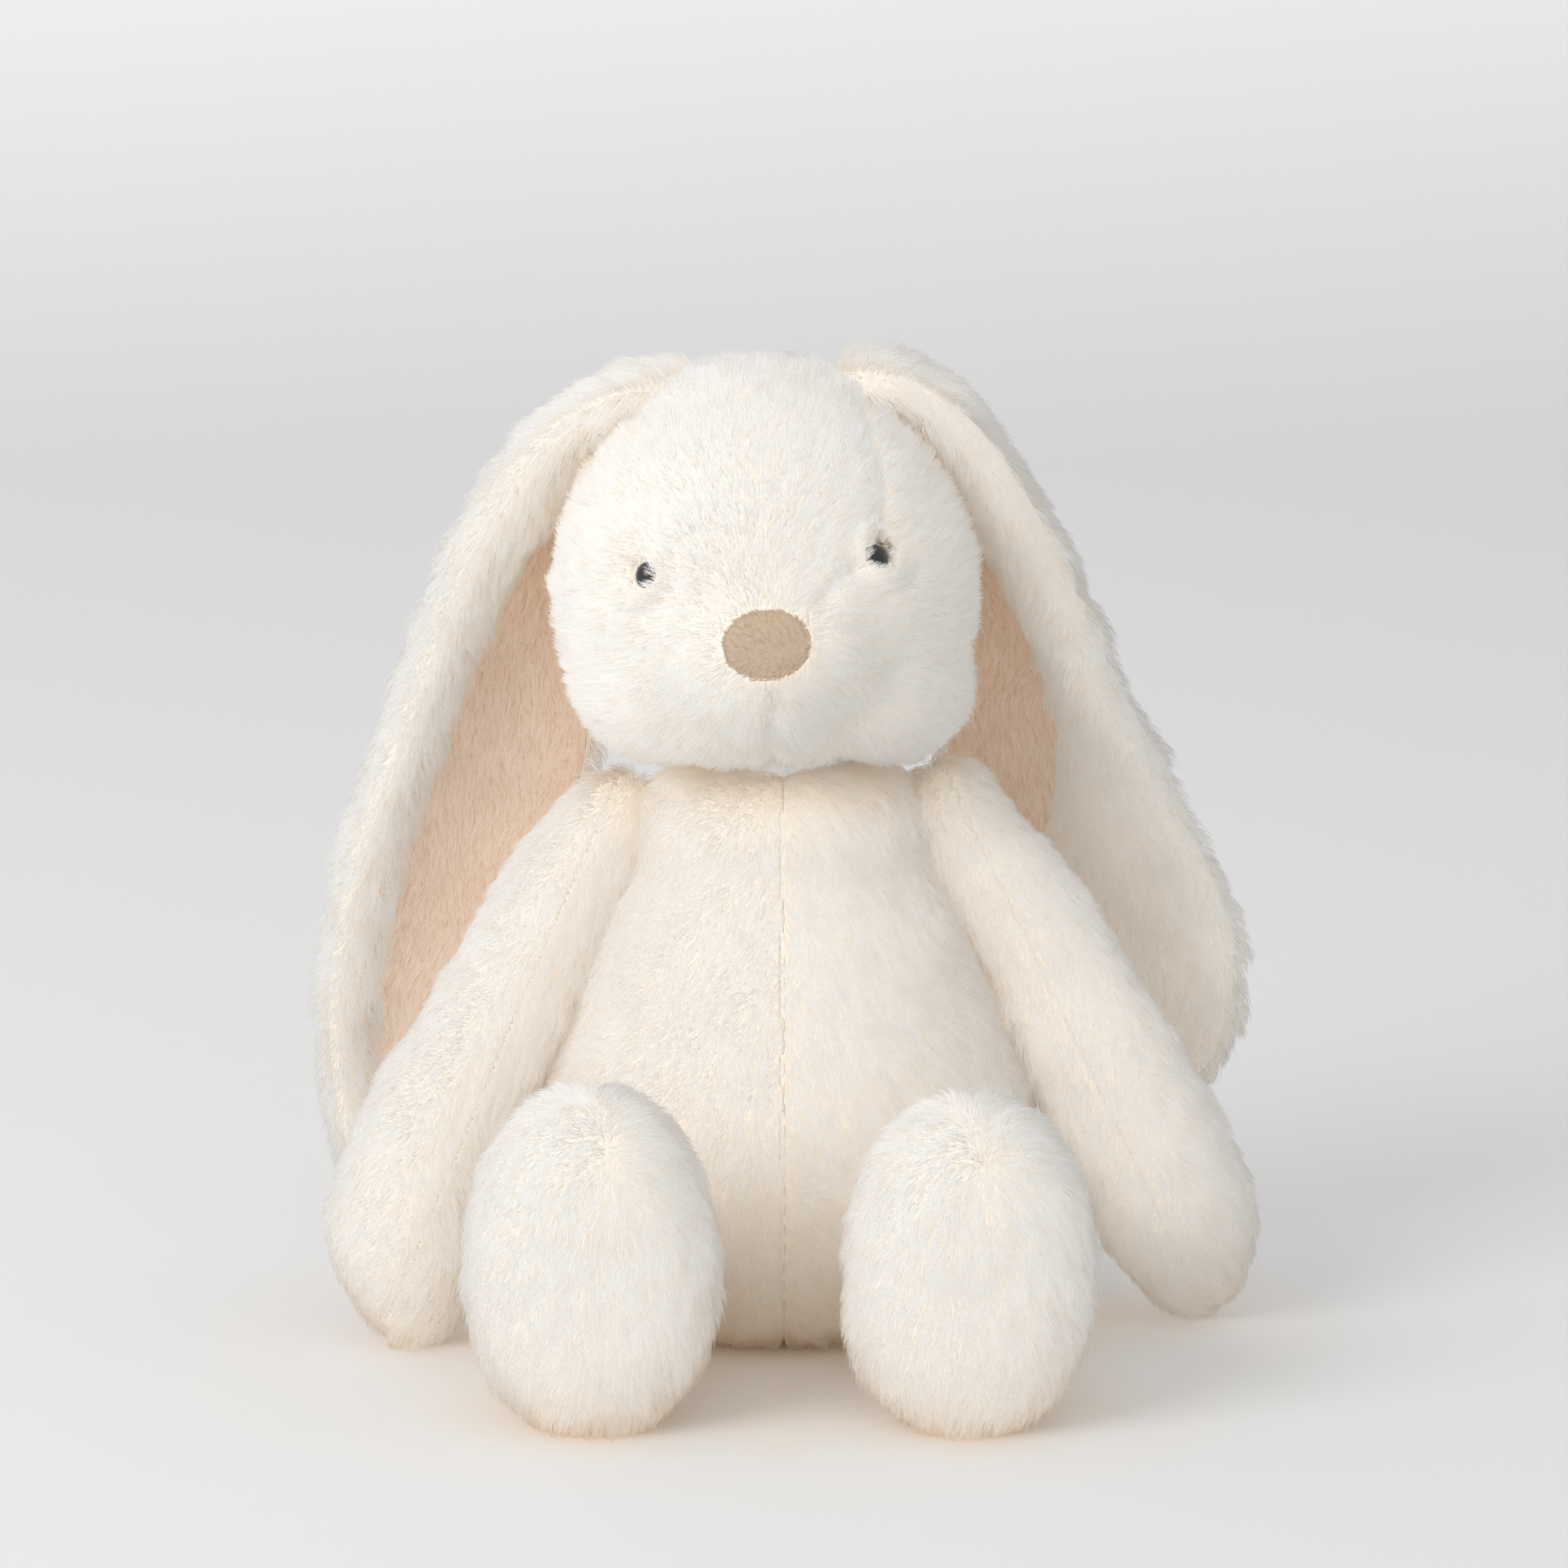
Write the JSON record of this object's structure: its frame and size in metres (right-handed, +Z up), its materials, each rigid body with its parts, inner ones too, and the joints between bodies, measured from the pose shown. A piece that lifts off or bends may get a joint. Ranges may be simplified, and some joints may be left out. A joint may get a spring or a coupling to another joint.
{
  "type": "plush rabbit",
  "caption": "Seated plush rabbit with long lop ears: sewn pile panels over fibre filling, soft jointed arms, legs, ears and head, button eyes and a short-pile nose.",
  "frame": {"origin": "centre of the flat seat panel under the body, on the surface the toy sits on", "axes": "+Z up through the head, the face looks along -Y, +X is the toy's own left"},
  "size_m": [0.284, 0.2498, 0.2982],
  "materials": {
    "cream_pile": "soft warm cream plush pile about 8 mm long",
    "ear_lining_pile": "short pale peach plush pile",
    "nose_pile": "short taupe brown pile",
    "eye_plastic": "polished black",
    "washer_plastic": "natural white",
    "fibre_filling": "white polyester fibre",
    "sewing_thread": "cream polyester thread",
    "pouch_cloth": "white woven cotton",
    "bean_plastic": "natural pellets",
    "label_tape": "white satin tape, blank"
  },
  "bodies": {
    "torso": {"body_front_left": "cream_pile", "body_front_right": "cream_pile", "body_back_left": "cream_pile", "body_back_right": "cream_pile", "body_base": "cream_pile", "body_stuffing": "fibre_filling", "bean_pouch": "pouch_cloth", "bean_fill": "bean_plastic", "body_front_stitches": "sewing_thread", "body_side_stitches": "sewing_thread", "back_closing_stitches": "sewing_thread", "neck_stitches": "sewing_thread", "tail_cover": "cream_pile", "tail_stuffing": "fibre_filling", "tail_stitches": "sewing_thread", "care_label": "label_tape"},
    "neck": {"neck_stuffing": "fibre_filling"},
    "head": {"head_gusset": "cream_pile", "head_side_left": "cream_pile", "head_side_right": "cream_pile", "nose_patch": "nose_pile", "eye_left": "eye_plastic", "eye_right": "eye_plastic", "eye_washer_left": "washer_plastic", "eye_washer_right": "washer_plastic", "head_stuffing": "fibre_filling", "head_stitches": "sewing_thread", "ear_root_stitches_left": "sewing_thread", "ear_root_stitches_right": "sewing_thread"},
    "ear_left": {"ear_back_left": "cream_pile", "ear_lining_left": "ear_lining_pile"},
    "arm_left": {"arm_outer_left": "cream_pile", "arm_inner_left": "cream_pile", "arm_stuffing_left": "fibre_filling"},
    "leg_left": {"leg_outer_left": "cream_pile", "leg_inner_left": "cream_pile", "foot_sole_left": "cream_pile", "leg_stuffing_left": "fibre_filling", "sole_stitches_left": "sewing_thread"},
    "ear_right": {"ear_back_right": "cream_pile", "ear_lining_right": "ear_lining_pile"},
    "arm_right": {"arm_outer_right": "cream_pile", "arm_inner_right": "cream_pile", "arm_stuffing_right": "fibre_filling"},
    "leg_right": {"leg_outer_right": "cream_pile", "leg_inner_right": "cream_pile", "foot_sole_right": "cream_pile", "leg_stuffing_right": "fibre_filling", "sole_stitches_right": "sewing_thread"}
  },
  "joints": [
    {"name": "neck_turn", "type": "hinge", "parent": "torso", "child": "neck", "pos_m": [0, 0.004, 0.171], "axis": [0, 0, 1], "range_deg": [-10, 10]},
    {"name": "head_nod", "type": "hinge", "parent": "neck", "child": "head", "pos_m": [0, 0.004, 0.171], "axis": [1, 0, 0], "range_deg": [-4, 15]},
    {"name": "ear_lift_left", "type": "hinge", "parent": "head", "child": "ear_left", "pos_m": [0.0225, 0.001, 0.2915], "axis": [0, -1, 0], "range_deg": [0, 90]},
    {"name": "ear_lift_right", "type": "hinge", "parent": "head", "child": "ear_right", "pos_m": [-0.0345, 0.001, 0.2875], "axis": [0, 1, 0], "range_deg": [0, 90]},
    {"name": "arm_swing_left", "type": "hinge", "parent": "torso", "child": "arm_left", "pos_m": [0.0576, 0.0043, 0.147], "axis": [-1, 0, 0], "range_deg": [0, 80]},
    {"name": "arm_swing_right", "type": "hinge", "parent": "torso", "child": "arm_right", "pos_m": [-0.0576, 0.0045, 0.147], "axis": [-1, 0, 0], "range_deg": [0, 80]},
    {"name": "leg_swing_left", "type": "hinge", "parent": "torso", "child": "leg_left", "pos_m": [0.0526, -0.08, 0.033], "axis": [-1, 0, 0], "range_deg": [-80, 30]},
    {"name": "leg_swing_right", "type": "hinge", "parent": "torso", "child": "leg_right", "pos_m": [-0.0546, -0.08, 0.033], "axis": [-1, 0, 0], "range_deg": [-80, 30]}
  ]
}
